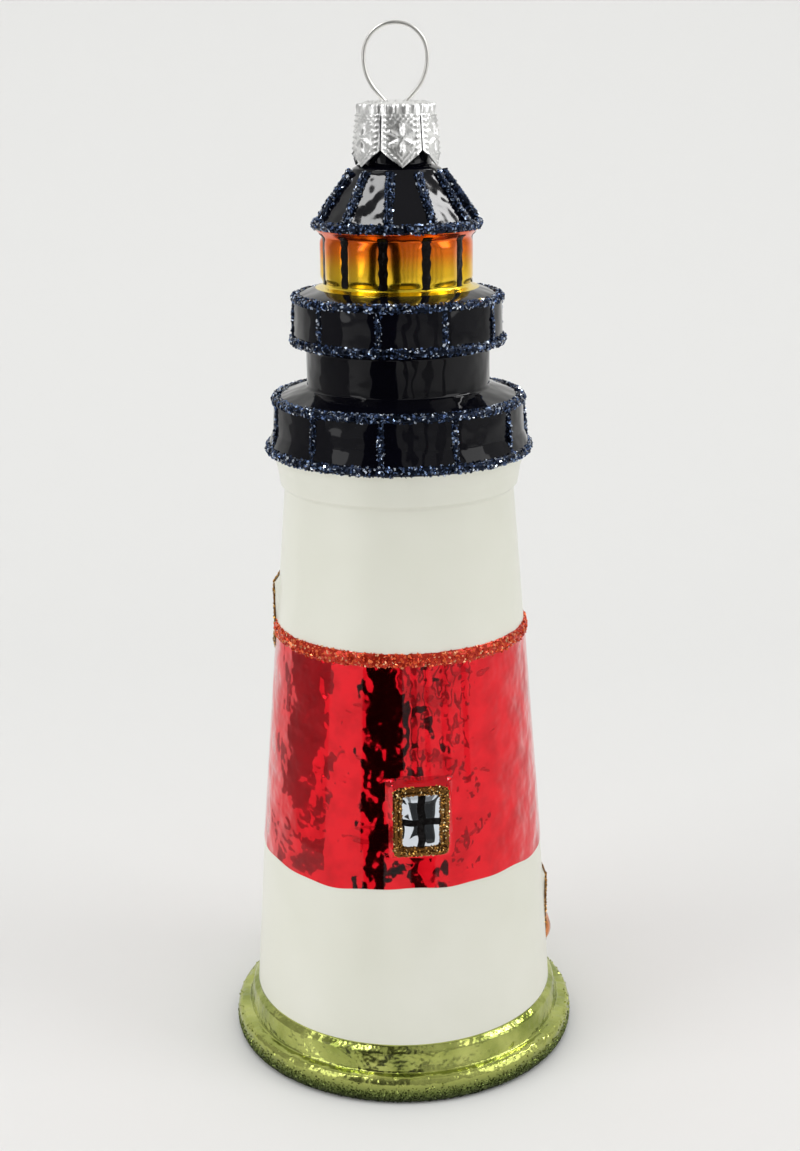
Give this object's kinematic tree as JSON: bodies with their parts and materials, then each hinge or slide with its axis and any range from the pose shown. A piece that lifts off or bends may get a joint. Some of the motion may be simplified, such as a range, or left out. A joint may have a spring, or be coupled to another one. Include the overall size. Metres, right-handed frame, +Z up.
{
  "type": "hanging glass lighthouse ornament",
  "caption": "Blown-glass lighthouse ornament with red and white tower, black galleries, amber lantern, glitter lines, metal crown cap and wire hanging loop.",
  "frame": {"origin": "centre of the round foot, on the surface that it stands on", "axes": "+Z up along the tower's axis, -Y towards the viewer, +X to the viewer's right"},
  "size_m": [0.0612, 0.0612, 0.1743],
  "materials": {
    "glass_tower": "clear blown soda glass, mirror inside",
    "silver_lining": "bright silver film",
    "roof_black_lacquer": "deep gloss black lacquer over the mirror",
    "lantern_amber_lacquer": "transparent amber lacquer over the mirror",
    "lantern_bar_paint": "black brush lines",
    "gallery_black_lacquer": "deep gloss black lacquer",
    "upper_white_lacquer": "satin pearl white lacquer",
    "red_band_lacquer": "transparent red lacquer over the mirror",
    "lower_white_lacquer": "satin pearl white lacquer",
    "base_green_lacquer": "satin green-gold metallic lacquer",
    "door_copper_lacquer": "copper lacquer",
    "front_window_muntins": "black brush lines",
    "side_window_muntins": "black brush lines",
    "roof_rib_glitter": "navy glass glitter",
    "eave_glitter": "navy glass glitter",
    "upper_rail_glitter": "navy glass glitter",
    "upper_edge_glitter": "navy glass glitter",
    "upper_post_glitter": "navy glass glitter",
    "lower_rail_glitter": "navy glass glitter",
    "lower_edge_glitter": "navy glass glitter",
    "lower_post_glitter": "navy glass glitter",
    "red_band_glitter": "orange-red glass glitter",
    "front_window_glitter": "gold and bronze glass glitter",
    "side_window_glitter": "gold and bronze glass glitter",
    "door_glitter": "gold and bronze glass glitter",
    "base_rim_glitter": "dark green and olive glass glitter",
    "crown_cap": "embossed tinned sheet, satin",
    "hanger_wire": "drawn steel wire"
  },
  "bodies": {
    "glass": {"glass_tower": "glass_tower", "silver_lining": "silver_lining", "roof_black_lacquer": "roof_black_lacquer", "lantern_amber_lacquer": "lantern_amber_lacquer", "lantern_bar_paint": "lantern_bar_paint", "gallery_black_lacquer": "gallery_black_lacquer", "upper_white_lacquer": "upper_white_lacquer", "red_band_lacquer": "red_band_lacquer", "lower_white_lacquer": "lower_white_lacquer", "base_green_lacquer": "base_green_lacquer", "door_copper_lacquer": "door_copper_lacquer", "front_window_muntins": "front_window_muntins", "side_window_muntins": "side_window_muntins", "roof_rib_glitter": "roof_rib_glitter", "eave_glitter": "eave_glitter", "upper_rail_glitter": "upper_rail_glitter", "upper_edge_glitter": "upper_edge_glitter", "upper_post_glitter": "upper_post_glitter", "lower_rail_glitter": "lower_rail_glitter", "lower_edge_glitter": "lower_edge_glitter", "lower_post_glitter": "lower_post_glitter", "red_band_glitter": "red_band_glitter", "front_window_glitter": "front_window_glitter", "side_window_glitter": "side_window_glitter", "door_glitter": "door_glitter", "base_rim_glitter": "base_rim_glitter"},
    "cap": {"crown_cap": "crown_cap"},
    "hanger": {"hanger_wire": "hanger_wire"}
  },
  "joints": [
    {"name": "cap_lift", "type": "slide", "parent": "glass", "child": "cap", "axis": [0, 0, 1], "range_m": [0, 0.02]},
    {"name": "hanger_tip", "type": "hinge", "parent": "cap", "child": "hanger", "pos_m": [0, 0, 0.16175], "axis": [1, 0, 0], "range_deg": [-12, 12]}
  ]
}
